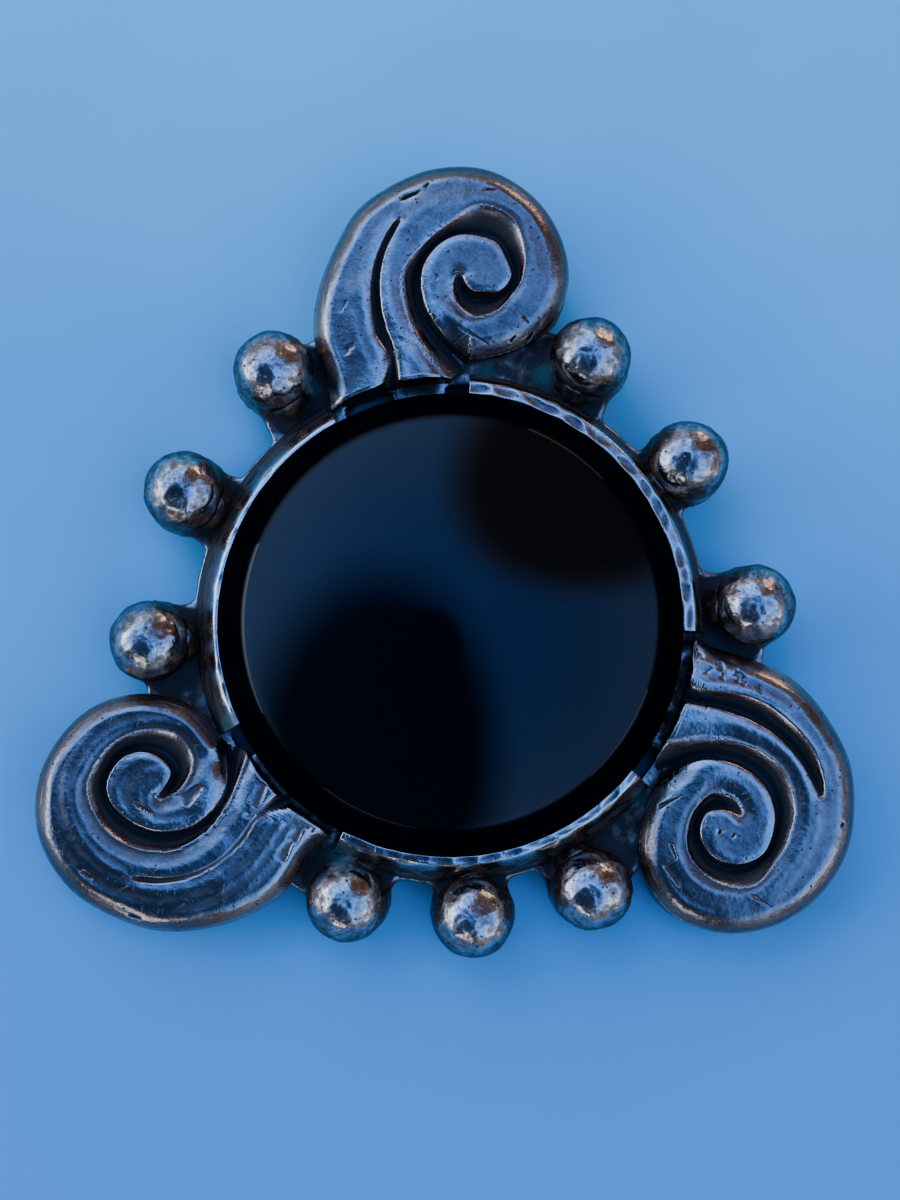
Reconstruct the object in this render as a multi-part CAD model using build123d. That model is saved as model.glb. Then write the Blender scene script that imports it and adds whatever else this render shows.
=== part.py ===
"""Onyx brooch: a round domed stone in a soldered silver mount with three scrolls and nine balls, and a pin.

Millimetres, +Z up. The brooch lies face up on the plane z = 0. It is drawn about the stone's axis and moved
at the end, so that the origin is under the middle of its bounding box.
"""

from build123d import *
import math
import os

# Stone
stone_diameter = 40.0
stone_height = 9.6
girdle_height = 0.8
dome_fullness = 0.62
stone_clearance = 0.12

# Back plate: a ring under the stone's edge with a lobe under each ball
plate_underside = 2.2
plate_thickness = 1.4
plate_margin = 2.2
ledge_width = 0.9
slot_width = 0.9

# Bezel strips
bezel_height = 3.0
bezel_foot = 1.5
bezel_top = 0.9
bezel_sink = 0.7

# Balls and what carries them
ball_diameter = 7.1
ball_centre_height = 5.3
lobe_radius = 2.9
neck_width = 6.2
neck_spread = 1.6
neck_taper = 0.4
web_reach = 1.0

# Scrolls
scroll_size = 10.0
scroll_distance = 30.0
scroll_height = 6.2
relief_depth = 2.0
shoulder_radius = 1.6
shoulder_steps = 4
groove_lean = 0.015
scroll_wall = 1.1
scroll_roof = 0.9
skirt_radius = 28.3
pocket_radius = 24.5

# Pin across the back
stem_diameter = 1.1
stem_height = 1.2
pin_offset = 18.2
pin_direction = 56.5
pin_start = -24.5
pin_end = 22.5
joint_length = 3.4
joint_width = 3.0
catch_length = 2.4
catch_width = 2.2
block_underside = 0.45
block_rounding = 0.7
pin_gap = 0.05

UPRIGHT = (Align.CENTER, Align.CENTER, Align.MIN)


def table(columns, *rows):
    return [dict(zip(columns.split(), row)) for row in rows]


# Each scroll is drawn about its eye, with +Y away from the stone. A row gives a direction there in degrees
# and how far the line lies from the eye, as a share of scroll_size, on the top, left and right scroll.
OUTLINE = table(
    "turn top left right",
    (234, 1.90, 1.75, 1.83),
    (221, 1.59, 1.55, 1.565),
    (206, 1.50, 1.50, 1.46),
    (190, 1.37, 1.40, 1.38),
    (170, 1.23, 1.27, 1.245),
    (150, 1.155, 1.16, 1.145),
    (120, 1.03, 1.05, 1.02),
    (90, 0.955, 0.97, 0.93),
    (60, 0.875, 0.89, 0.88),
    (30, 0.825, 0.825, 0.865),
    (0, 0.815, 0.81, 0.865),
    (-30, 0.785, 0.805, 0.82),
    (-60, 0.73, 0.82, 0.75),
    (-90, 0.74, 0.81, 0.74),
)

# Outer edge of the spiral groove, which is the inner edge of the first turn of the band
BAND_EDGE = table(
    "turn top left right",
    (270, 1.15, 1.12, 1.15),
    (240, 0.80, 0.81, 0.86),
    (210, 0.67, 0.695, 0.76),
    (180, 0.62, 0.61, 0.70),
    (150, 0.52, 0.52, 0.60),
    (120, 0.51, 0.47, 0.50),
    (90, 0.61, 0.44, 0.46),
    (60, 0.59, 0.45, 0.50),
    (30, 0.485, 0.43, 0.47),
    (0, 0.42, 0.45, 0.435),
    (-30, 0.38, 0.49, 0.42),
    (-60, 0.39, 0.55, 0.38),
    (-90, 0.39, 0.52, 0.37),
    (-120, 0.31, 0.36, 0.37),
    (-150, 0.225, 0.21, 0.28),
    (-180, 0.17, 0.14, 0.19),
)

# Inner edge of the spiral groove, which is the outer edge of the coil
COIL_EDGE = table(
    "turn top left right",
    (270, 0.74, 0.81, 0.74),
    (240, 0.57, 0.71, 0.65),
    (210, 0.495, 0.56, 0.55),
    (180, 0.45, 0.41, 0.47),
    (150, 0.40, 0.31, 0.39),
    (120, 0.36, 0.265, 0.335),
    (90, 0.325, 0.265, 0.32),
    (60, 0.32, 0.275, 0.29),
    (30, 0.295, 0.275, 0.27),
    (0, 0.31, 0.29, 0.265),
    (-30, 0.26, 0.30, 0.26),
    (-60, 0.17, 0.30, 0.26),
    (-90, 0.15, 0.29, 0.25),
    (-120, 0.12, 0.19, 0.19),
    (-150, 0.105, 0.145, 0.145),
    (-180, 0.10, 0.14, 0.13),
)

# Both edges of the groove between the two legs
LEG_EDGE = table(
    "turn top left right",
    (230, 1.08, 1.08, 1.26),
    (215, 1.01, 0.99, 1.18),
    (200, 0.95, 0.93, 1.12),
    (185, 0.90, 0.885, 1.045),
    (170, 0.865, 0.84, 0.98),
    (155, 0.845, 0.80, 0.90),
    (146, 0.825, 0.77, 0.84),
)
MIDDLE_LEG_EDGE = table(
    "turn top left right",
    (230, 0.98, 1.02, 1.09),
    (215, 0.895, 0.945, 0.99),
    (200, 0.84, 0.895, 0.92),
    (185, 0.81, 0.84, 0.865),
    (170, 0.79, 0.785, 0.82),
    (155, 0.775, 0.74, 0.79),
    (146, 0.785, 0.73, 0.785),
)

# Scrolls: direction of the eye from the stone's axis, how much further out than usual it lies, room between
# the legs and the stone, where the spiral groove ends, and where both sides of the leg groove's mouth lie
SCROLLS = table(
    "name direction shift room groove_end leg_side middle_leg_side",
    ("top", 86.0, 0.4, 1.1, -180, 236, 243),
    ("left", 208.0, -0.2, 0.4, -150, 237, 243),
    ("right", 323.5, -0.4, 0.8, -180, 230.5, 242),
)
leg_side_reach = 1.5
middle_leg_side_reach = 1.25

# Bezel strips: directions of their ends
BEZELS = table("start end", (-2.0, 85.5), (119.5, 205.7), (242.8, 321.0))

# Slots beside the legs, through which light shows: directions of their ends
SLOTS = table("start end", (77.0, 91.0), (104.0, 116.0), (206.0, 213.0), (319.0, 329.0))

# Balls: direction, how far the centre lies outside the plate's edge, and the scroll a web joins them to
BALLS = table(
    "direction outside web",
    (3.5, 3.9, "right"),
    (34.5, 2.6, None),
    (62.3, 3.9, "top"),
    (124.9, 4.5, "top"),
    (153.5, 3.4, None),
    (183.3, 3.5, "left"),
    (249.6, 2.9, "left"),
    (274.4, 2.7, None),
    (298.0, 3.3, "right"),
)

stone_radius = stone_diameter / 2
plate_top = plate_underside + plate_thickness
plate_radius = stone_radius + plate_margin
hole_radius = stone_radius - ledge_width
seat_height = plate_top + stone_clearance
girdle_top = seat_height + girdle_height
dome_height = stone_height - girdle_height
shoulder_arc = dome_fullness * dome_height
crown_rise = dome_height - shoulder_arc
crown_arc = (stone_radius**2 + dome_height**2 - 2 * stone_radius * shoulder_arc) / (2 * crown_rise)
groove_floor = scroll_height - relief_depth
pocket_height = groove_floor - scroll_roof


def at(radius, degrees):
    """Point at this distance and direction from the origin of a plane."""
    return (radius * math.cos(math.radians(degrees)), radius * math.sin(math.radians(degrees)))


def dome_radius(height):
    """Radius of the stone at this height, on the arc that rounds its dome into the girdle."""
    rise = min(height - girdle_top, shoulder_arc)
    return stone_radius - shoulder_arc + math.sqrt(shoulder_arc**2 - rise**2)


def onyx_cabochon():
    """Round stone with a flat back, a low upright girdle, and a dome of two arcs that meet smoothly."""
    joint = math.degrees(math.asin((crown_arc - dome_height) / (crown_arc - shoulder_arc)))
    apex = girdle_top + dome_height
    profile = make_face([
        Polyline((0, apex), (0, seat_height), (stone_radius, seat_height), (stone_radius, girdle_top)),
        CenterArc((stone_radius - shoulder_arc, girdle_top), shoulder_arc, 0, joint),
        CenterArc((0, apex - crown_arc), crown_arc, joint, 90 - joint),
    ])
    return revolve(Plane.XZ * profile, Axis.Z)


def sector(radius, start, end):
    """Slice of a disc between two directions."""
    return make_face([
        Line((0, 0), at(radius, start)),
        CenterArc((0, 0), radius, start, end - start),
        Line(at(radius, end), (0, 0)),
    ])


def plate_outline():
    """Ring with a necked lobe under each ball, and a web from it to the nearest scroll."""
    shape = Circle(plate_radius)
    eyes = {scroll["name"]: scroll["direction"] for scroll in SCROLLS}
    for ball in BALLS:
        direction = ball["direction"]
        reach = plate_radius + ball["outside"]
        half = neck_width / 2
        neck = Polygon(
            (reach, half - neck_taper), (plate_radius, half), (hole_radius, half + neck_spread),
            (hole_radius, -half - neck_spread), (plate_radius, -half), (reach, -half + neck_taper),
            align=None,
        )
        shape += Rot(0, 0, direction) * neck
        shape += Pos(*at(reach, direction)) * Circle(lobe_radius)
        if ball["web"]:
            towards = (eyes[ball["web"]] - direction + 180) % 360 - 180
            start, end = sorted((direction, direction + towards))
            shape += sector(reach + web_reach, start, end)
    return shape


def plate():
    opening = Circle(hole_radius)
    for slot in SLOTS:
        opening += sector(stone_radius + slot_width, slot["start"], slot["end"])
    return Pos(0, 0, plate_underside) * extrude(plate_outline() - opening, plate_thickness)


def bezel(start, end):
    """Strip of bezel between two directions, with an inner face along the dome and a sloping outer one."""
    foot = plate_top - bezel_sink
    top = plate_top + bezel_height
    heights = (girdle_top, (girdle_top + top) / 2, top)
    inner = [(dome_radius(height) + stone_clearance, height) for height in heights]
    wall = stone_radius + stone_clearance
    profile = Polygon(
        (wall, foot), *inner, (inner[-1][0] + bezel_top, top), (wall + bezel_foot, plate_top),
        (wall + bezel_foot, foot), align=None,
    )
    return Rot(0, 0, start) * revolve(Plane.XZ * profile, Axis.Z, end - start)


def ball_in_place(ball):
    """Ball sunk into its lobe, with a flat level with the back of the plate."""
    x, y = at(plate_radius + ball["outside"], ball["direction"])
    sphere = Pos(x, y, ball_centre_height) * Sphere(ball_diameter / 2)
    return split(sphere, Plane.XY.offset(plate_underside))


def spiral(rows, name, outward=0.0):
    """Smooth line about the eye through one column of a table, moved outward by a share of scroll_size."""
    return Spline([at(scroll_size * (row[name] + outward), row["turn"]) for row in rows])


def scroll_plan(name, inset=0.0):
    """Outline of a scroll, closed towards the stone by straight lines."""
    side = spiral(OUTLINE, name, -inset / scroll_size)
    mouth = at(scroll_size * BAND_EDGE[0][name], BAND_EDGE[0]["turn"])
    return make_face([side, Polyline(side @ 1, mouth, side @ 0)])


def groove_plan(edges, name, mouth, widening):
    """Plan of a groove between two spirals, with a round tip and straight lines round its mouth."""
    outer = spiral(edges[0], name, widening)
    inner = spiral(edges[1], name, -widening)
    across = outer @ 1 - inner @ 1
    along = (outer % 1 + inner % 1).normalized()
    end = ThreePointArc(outer @ 1, inner @ 1 + across / 2 + along * across.length / 2, inner @ 1)
    return make_face([outer, end, inner, Polyline(inner @ 0, *mouth, outer @ 0)])


def groove(edges, name, mouth=()):
    """Groove with leaning walls, as wide as the tables say halfway down, that runs on above the scroll."""
    sections = []
    for rise in (0, 2 * relief_depth):
        widening = groove_lean * (2 * rise / relief_depth - 1)
        sections.append(Pos(0, 0, groove_floor + rise) * groove_plan(edges, name, mouth, widening))
    return loft(sections, ruled=True)


def scroll_grooves(scroll):
    """Groove that winds from the mouth into the eye, and the one between the legs."""
    rows = sum(row["turn"] >= scroll["groove_end"] for row in BAND_EDGE)
    winding = groove((BAND_EDGE[:rows], COIL_EDGE[:rows]), scroll["name"])
    mouth = (
        at(scroll_size * middle_leg_side_reach, scroll["middle_leg_side"]),
        at(scroll_size * leg_side_reach, scroll["leg_side"]),
    )
    return winding, groove((LEG_EDGE, MIDDLE_LEG_EDGE), scroll["name"], mouth)


def placed(scroll, shape):
    """Move a shape drawn about a scroll's eye to its place round the stone."""
    return Rot(0, 0, scroll["direction"] - 90) * Pos(0, scroll_distance + scroll["shift"], 0) * shape


def scroll_body(scroll):
    """Scroll with rounded shoulders and sunk grooves, whose legs stop short of the stone."""
    sections = [scroll_plan(scroll["name"])]
    for step in range(shoulder_steps):
        angle = math.radians(90 * step / (shoulder_steps - 1))
        height = scroll_height - shoulder_radius * (1 - math.sin(angle))
        inset = shoulder_radius * (1 - math.cos(angle))
        sections.append(Pos(0, 0, height) * scroll_plan(scroll["name"], inset))
    body = loft(sections, ruled=True)
    for cut in scroll_grooves(scroll):
        body -= cut
    body = placed(scroll, body) - Cylinder(stone_radius + scroll["room"], scroll_height, align=UPRIGHT)
    return body - Cylinder(skirt_radius, plate_underside, align=UPRIGHT)


def scroll_pocket(scroll):
    """Hollow back of a scroll, open towards the middle of the brooch."""
    pocket = placed(scroll, extrude(scroll_plan(scroll["name"], scroll_wall), pocket_height))
    return pocket - Cylinder(pocket_radius, pocket_height, align=UPRIGHT)


def silver_mount():
    """Plate, bezel strips, balls and scrolls, soldered into one."""
    mount = plate()
    for strip in BEZELS:
        mount += bezel(strip["start"], strip["end"])
    for scroll in SCROLLS:
        mount += scroll_body(scroll)
    for ball in BALLS:
        mount += ball_in_place(ball)
    for scroll in SCROLLS:
        mount -= scroll_pocket(scroll)
    return mount


def brooch_pin():
    """Pin stem with its joint block in the left scroll's hollow and its catch in the top one's."""
    height = pocket_height - pin_gap - block_underside
    stem = Rot(0, 90, 0) * Cylinder(stem_diameter / 2, pin_end - pin_start, align=UPRIGHT)
    joint = Box(joint_length, joint_width, height, align=UPRIGHT)
    joint = fillet(joint.edges().filter_by(Axis.Y).group_by(Axis.Z)[0], block_rounding)
    catch = Box(catch_length, catch_width, height, align=UPRIGHT)
    catch = fillet(catch.edges().filter_by(Axis.X).group_by(Axis.Z)[0], block_rounding)
    pin = Pos(pin_start, 0, stem_height) * stem
    pin += Pos(pin_start, 0, block_underside) * joint
    pin += Pos(pin_end, 0, block_underside) * catch
    return Rot(0, 0, pin_direction) * Pos(0, pin_offset, 0) * pin


pieces = {"silver_mount": silver_mount(), "onyx_cabochon": onyx_cabochon(), "brooch_pin": brooch_pin()}
box = pieces["silver_mount"].bounding_box()
to_origin = Pos(-(box.min.X + box.max.X) / 2, -(box.min.Y + box.max.Y) / 2, 0)

os.makedirs("parts", exist_ok=True)
for name, piece in pieces.items():
    export_step(to_origin * piece, f"parts/{name}.step")
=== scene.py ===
"""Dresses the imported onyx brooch: cast scrolls, hammered bezel strips, balls, plate, stone and pin, each with
its finish, on a pale sheet in soft light. Pieces are shaped in millimetres about the stone's axis and then
brought into the frame."""

import math

import bpy
import numpy as np
from bpy.props import FloatProperty, FloatVectorProperty, PointerProperty
from mathutils import Matrix, Vector
from mathutils.geometry import interpolate_bezier


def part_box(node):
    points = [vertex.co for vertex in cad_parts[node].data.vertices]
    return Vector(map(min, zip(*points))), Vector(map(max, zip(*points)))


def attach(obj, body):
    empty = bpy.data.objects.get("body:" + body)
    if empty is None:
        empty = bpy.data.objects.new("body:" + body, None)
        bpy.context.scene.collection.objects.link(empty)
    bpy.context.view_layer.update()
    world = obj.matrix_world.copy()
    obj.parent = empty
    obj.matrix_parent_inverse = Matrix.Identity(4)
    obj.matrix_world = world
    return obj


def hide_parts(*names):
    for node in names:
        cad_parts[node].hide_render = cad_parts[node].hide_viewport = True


bl_info = {
    "name": "Onyx brooch",
    "version": (1, 0, 0),
    "blender": (4, 5, 0),
    "location": "3D View > Sidebar > Brooch",
    "description": "Cast scrolls, hammered bezel strips, balls, plate, stone and pin of a silver brooch",
    "category": "Object",
}

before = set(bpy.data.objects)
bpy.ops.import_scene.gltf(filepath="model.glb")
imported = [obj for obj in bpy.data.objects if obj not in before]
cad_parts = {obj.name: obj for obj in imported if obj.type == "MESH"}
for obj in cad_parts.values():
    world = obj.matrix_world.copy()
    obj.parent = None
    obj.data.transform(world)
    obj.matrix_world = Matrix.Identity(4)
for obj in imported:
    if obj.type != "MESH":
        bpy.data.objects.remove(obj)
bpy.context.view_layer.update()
MM = 0.001
TINY = 1e-9


def table(columns, *rows):
    """Rows of values, each under the names of its columns."""
    return [dict(zip(columns.split(), row)) for row in rows]


def colour(code):
    """Linear colour of an sRGB hex value."""
    parts = [int(code[place:place + 2], 16) / 255 for place in (1, 3, 5)]
    linear = [part / 12.92 if part <= 0.04045 else ((part + 0.055) / 1.055) ** 2.4 for part in parts]
    return (*linear, 1.0)


def stone_axis():
    """Place of the stone's axis in the frame, in millimetres."""
    low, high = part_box("onyx_cabochon")
    return (low + high) / (2 * MM)


# Heights and radii of the brooch in millimetres, as the source has them
STONE_RADIUS = 20.0
SEAT_HEIGHT = 3.72
GIRDLE_TOP = 4.52
APEX = 13.32
SHOULDER_ARC = 5.456
PLATE_UNDERSIDE = 2.2
PLATE_TOP = 3.6
PLATE_RADIUS = 22.2
HOLE_RADIUS = 19.1
SLOT_RADIUS = 20.9
BEZEL_TOP = 6.6
SCROLL_HEIGHT = 6.2
SKIRT_RADIUS = 28.3
POCKET_RADIUS = 24.5
POCKET_HEIGHT = 3.3
SCROLL_WALL = 1.1
BALL_RADIUS = 3.55
BALL_CENTRE = 5.3
LOBE_RADIUS = 2.9
NECK_WIDTH = 6.2
WEB_REACH = 1.0
# Sizes of the visible pieces alone: how far the scrolls' edge drops, the radii of the bezel's wall, waist,
# lip and foot, the radius and height of its lower row of hammer marks, and the width of a groove's mouth
SHOULDER_DROP = 1.2
BEZEL_WALL = 20.12
BEZEL_WAIST = 19.98
BEZEL_LIP = 19.72
BEZEL_FOOT = 22.0
LOWER_MARKS = (21.5, 5.1)
MOUTH_SPREAD = math.radians(9)
# Vertices nearer than this, in millimetres, are one
WELD = 2e-5

# Each scroll is drawn about its eye, with +Y away from the stone. A row gives a direction there in degrees
# and how far the line lies from the eye in millimetres, on the top, left and right scroll.
OUTLINE = table(
    "turn top left right",
    (234, 19.0, 17.5, 18.3), (221, 15.9, 15.5, 15.65), (206, 15.0, 15.0, 14.6), (190, 13.7, 14.0, 13.8),
    (170, 12.3, 12.7, 12.45), (150, 11.55, 11.6, 11.45), (120, 10.3, 10.5, 10.2), (90, 9.55, 9.7, 9.3),
    (60, 8.75, 8.9, 8.8), (30, 8.25, 8.25, 8.65), (0, 8.15, 8.1, 8.65), (-30, 7.85, 8.05, 8.2),
    (-60, 7.3, 8.2, 7.5), (-90, 7.4, 8.1, 7.4),
)
# Outer and inner edge of the groove that winds into the eye
BAND_EDGE = table(
    "turn top left right",
    (270, 11.5, 11.2, 11.5), (240, 8.0, 8.1, 8.6), (210, 6.7, 6.95, 7.6), (180, 6.2, 6.1, 7.0),
    (150, 5.2, 5.2, 6.0), (120, 5.1, 4.7, 5.0), (90, 6.1, 4.4, 4.6), (60, 5.9, 4.5, 5.0),
    (30, 4.85, 4.3, 4.7), (0, 4.2, 4.5, 4.35), (-30, 3.8, 4.9, 4.2), (-60, 3.9, 5.5, 3.8),
    (-90, 3.9, 5.2, 3.7), (-120, 3.1, 3.6, 3.7), (-150, 2.25, 2.1, 2.8), (-180, 1.7, 1.4, 1.9),
)
COIL_EDGE = table(
    "turn top left right",
    (270, 7.4, 8.1, 7.4), (240, 5.7, 7.1, 6.5), (210, 4.95, 5.6, 5.5), (180, 4.5, 4.1, 4.7),
    (150, 4.0, 3.1, 3.9), (120, 3.6, 2.65, 3.35), (90, 3.25, 2.65, 3.2), (60, 3.2, 2.75, 2.9),
    (30, 2.95, 2.75, 2.7), (0, 3.1, 2.9, 2.65), (-30, 2.6, 3.0, 2.6), (-60, 1.7, 3.0, 2.6),
    (-90, 1.5, 2.9, 2.5), (-120, 1.2, 1.9, 1.9), (-150, 1.05, 1.45, 1.45), (-180, 1.0, 1.4, 1.3),
)
# Outer and inner edge of the groove between the legs
LEG_EDGE = table(
    "turn top left right",
    (236, 15.0, 15.0, 15.6), (230, 10.8, 10.8, 12.6), (215, 10.1, 9.9, 11.8), (200, 9.5, 9.3, 11.2),
    (185, 9.0, 8.85, 10.45), (170, 8.65, 8.4, 9.8), (155, 8.45, 8.0, 9.0), (146, 8.25, 7.7, 8.4),
)
MIDDLE_LEG_EDGE = table(
    "turn top left right",
    (243, 12.5, 12.5, 12.5), (230, 9.8, 10.2, 10.9), (215, 8.95, 9.45, 9.9), (200, 8.4, 8.95, 9.2),
    (185, 8.1, 8.4, 8.65), (170, 7.9, 7.85, 8.2), (155, 7.75, 7.4, 7.9), (146, 7.85, 7.3, 7.85),
)
SCROLLS = table(
    "name direction eye stop groove_end facet facet_drop ripple",
    ("top", 86.0, 30.4, 21.1, -180, 1.3, 0.14, 0.006),
    ("left", 208.0, 29.8, 20.4, -150, 1.8, 0.30, 0.020),
    ("right", 323.5, 29.6, 20.8, -180, 1.4, 0.20, 0.012),
)
# Dents, cuts and pits on the scrolls' faces, about each eye, with the direction of their length in degrees
MARKS = table(
    "scroll x y length width depth direction",
    ("top", -6.1, 6.5, 2.0, 0.55, 0.42, 24), ("top", -4.7, 7.5, 0.6, 0.35, 0.30, 54),
    ("top", 0.8, 7.45, 1.4, 0.25, 0.18, 0), ("top", -10.4, -7.4, 1.4, 0.35, 0.20, 49),
    ("top", -11.1, -3.6, 1.2, 0.22, 0.15, 58), ("top", -5.5, -6.35, 1.8, 0.20, 0.15, -15),
    ("top", 4.6, -3.75, 1.0, 0.28, 0.24, -43), ("top", 3.65, -5.4, 0.8, 0.30, 0.21, 49),
    ("top", 5.15, -5.0, 0.9, 0.30, 0.24, 54), ("top", 0.2, -5.4, 3.4, 0.22, 0.15, -25),
    ("top", -3.3, -0.85, 1.1, 0.18, 0.15, -83),
    ("left", -5.2, -8.6, 2.6, 1.4, 0.18, -56), ("left", -6.0, -7.2, 1.4, 0.9, 0.11, -39),
    ("left", -10.4, -8.4, 2.0, 1.3, 0.19, -58), ("left", -9.5, -10.0, 2.1, 1.2, 0.18, -58),
    ("left", -9.55, -11.2, 1.5, 0.9, 0.17, -155), ("left", -9.7, -12.3, 1.4, 0.9, 0.17, -155),
    ("left", -10.6, -12.35, 0.6, 0.5, 0.52, 0), ("left", -4.4, 7.3, 1.4, 0.35, 0.24, -156),
    ("left", -9.4, 5.4, 1.2, 0.35, 0.24, -140), ("left", -2.5, -3.65, 2.4, 1.3, 0.17, -73),
    ("left", -1.65, 0.45, 2.2, 0.45, 0.27, -151),
    ("right", -10.6, -11.15, 1.3, 0.9, 0.34, 78), ("right", -10.5, -8.65, 1.9, 0.42, 0.38, 48),
    ("right", -10.95, -7.35, 1.5, 0.34, 0.30, 47), ("right", -11.0, -6.8, 1.4, 0.26, 0.26, 50),
    ("right", -9.9, -9.6, 1.2, 0.24, 0.22, 167), ("right", -11.1, -5.1, 1.1, 0.22, 0.20, 60),
    ("right", 1.1, -5.7, 2.5, 0.40, 0.22, 153), ("right", 4.3, -2.9, 1.7, 0.35, 0.21, 56),
    ("right", 5.85, -1.7, 2.6, 1.0, 0.13, 67), ("right", 3.3, 5.4, 2.2, 0.16, 0.15, 97),
    ("right", -6.0, 7.3, 0.45, 0.4, 0.30, 0), ("right", 0.7, -0.75, 0.5, 0.45, 0.30, 0),
    ("right", 0.25, 0.35, 0.5, 0.4, 0.24, 0),
)
# Strips of the bezel: directions of the ends, width of the flat top edge, and length of a hammer mark
BEZELS = table(
    "name start end top mark",
    ("right", -2.0, 85.5, 1.10, 2.1), ("left", 119.5, 205.7, 0.45, 4.2), ("bottom", 242.8, 321.0, 0.75, 1.7),
)
SLOTS = table("start end", (77.0, 91.0), (104.0, 116.0), (206.0, 213.0), (319.0, 329.0))
# A web joins a ball's lobe to the direction of the scroll beside it
BALLS = table(
    "direction outside web",
    (3.5, 3.9, 323.5 - 360), (34.5, 2.6, None), (62.3, 3.9, 86.0), (124.9, 4.5, 86.0), (153.5, 3.4, None),
    (183.3, 3.5, 208.0), (249.6, 2.9, 208.0), (274.4, 2.7, None), (298.0, 3.3, 323.5),
)
# Cones of solder between the plate and each ball, the second one on the side of the stone
SOLDER = table("inwards foot head height", (0.35, 3.8, 2.6, 1.9), (1.9, 2.7, 1.5, 2.9))
# Where verdigris has gathered on the plate, about the stone's axis, and how far it spreads
VERDIGRIS = table(
    "x y spread",
    (-12.0, 20.6, 1.3), (3.0, 22.2, 1.6), (8.0, 21.9, 1.5), (-18.7, -8.6, 1.8), (-9.3, -19.8, 2.0),
    (16.2, -14.8, 1.4), (-13.0, -17.0, 1.2),
)
# How each silver piece is worn. Between two heights it goes from dark to bright, on a scale from 0, grime,
# over 0.22, oxide, and 0.5, tarnish, to 0.9, rubbed bright. Then come what a crest adds, how mottled it is,
# how many of its spots are pitted, and how brown a patina its low sides keep.
FINISHES = table(
    "name low high dark bright crest mottle pitted patina",
    ("cast_silver", 4.6, 5.8, 0.30, 0.43, 0.25, 0.14, 0.40, 0.35),
    ("plate_silver", 3.0, 6.5, 0.10, 0.26, 0.40, 0.30, 0.30, 0.0),
    ("hammered_silver", 5.2, 6.4, 0.20, 0.56, 0.40, 0.22, 0.35, 0.1),
    ("ball_silver", 6.4, 8.4, 0.19, 0.47, 0.30, 0.40, 0.80, 0.2),
    ("drawn_silver_wire", 0.0, 1.2, 0.45, 0.60, 0.30, 0.30, 0.30, 0.0),
)


class BroochShapes(bpy.types.PropertyGroup):
    relief_depth: FloatProperty(name="Relief depth", description="Depth of the scrolls' grooves",
                                default=2.0 * MM, subtype="DISTANCE", unit="LENGTH")
    shoulder: FloatProperty(name="Shoulder", description="Width of the sloping edge round the scrolls",
                            default=1.6 * MM, subtype="DISTANCE", unit="LENGTH")
    planish_depth: FloatProperty(name="Planish depth", description="Height of the waves left on the scrolls",
                                 default=0.13 * MM, subtype="DISTANCE", unit="LENGTH")
    hammer_depth: FloatProperty(name="Hammer depth", description="Depth of a hammer mark on the bezel strips",
                                default=0.10 * MM, subtype="DISTANCE", unit="LENGTH")
    ball_dents: FloatProperty(name="Ball dents", description="Depth of the dents in the balls",
                              default=0.20 * MM, subtype="DISTANCE", unit="LENGTH")


class BroochFinish(bpy.types.PropertyGroup):
    silver: FloatVectorProperty(name="Silver", description="Colour of silver that is rubbed bright",
                                default=colour("#EADCCC"), size=4, subtype="COLOR", min=0, max=1)
    tarnish: FloatVectorProperty(name="Tarnish", description="Colour of silver with a thin tarnish",
                                 default=colour("#98877E"), size=4, subtype="COLOR", min=0, max=1)
    oxide: FloatVectorProperty(name="Oxide", description="Colour of the dark oxidised silver",
                               default=colour("#645346"), size=4, subtype="COLOR", min=0, max=1)
    soot: FloatVectorProperty(name="Grime", description="Colour of the grime in the hollows",
                              default=colour("#35312F"), size=4, subtype="COLOR", min=0, max=1)
    verdigris: FloatVectorProperty(name="Verdigris", description="Colour of the copper salts on the plate",
                                   default=colour("#2E5F55"), size=4, subtype="COLOR", min=0, max=1)
    onyx: FloatVectorProperty(name="Onyx", description="Colour of the stone",
                              default=colour("#050507"), size=4, subtype="COLOR", min=0, max=1)
    sheet: FloatVectorProperty(name="Sheet", description="Colour of the sheet that the brooch lies on",
                               default=colour("#7CECFF"), size=4, subtype="COLOR", min=0, max=1)


def node(tree, kind, inputs=(), stops=(), **settings):
    """Adds a node with its settings, its inputs as values or as (node, output) links, and a ramp's stops."""
    new = tree.nodes.new(kind)
    for key, value in settings.items():
        setattr(new, key, value)
    for key, value in dict(inputs).items():
        if isinstance(value, tuple) and isinstance(value[0], bpy.types.Node):
            tree.links.new(value[0].outputs[value[1]], new.inputs[key])
        else:
            new.inputs[key].default_value = value
    for place, (position, shade) in enumerate(stops):
        ramp = new.color_ramp.elements
        stop = ramp[place] if place < 2 else ramp.new(position)
        stop.position = position
        stop.color = shade if isinstance(shade, tuple) else (shade, shade, shade, 1.0)
    return new


def new_material(name):
    """Material with no shader yet, its node tree, and a node that gives Object coordinates in millimetres."""
    material = bpy.data.materials.new(name)
    material.use_nodes = True
    tree = material.node_tree
    tree.nodes.clear()
    place = node(tree, "ShaderNodeTexCoord")
    mm = node(tree, "ShaderNodeMapping", {"Vector": (place, "Object"), "Scale": (1 / MM, 1 / MM, 1 / MM)})
    return material, tree, mm


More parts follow.
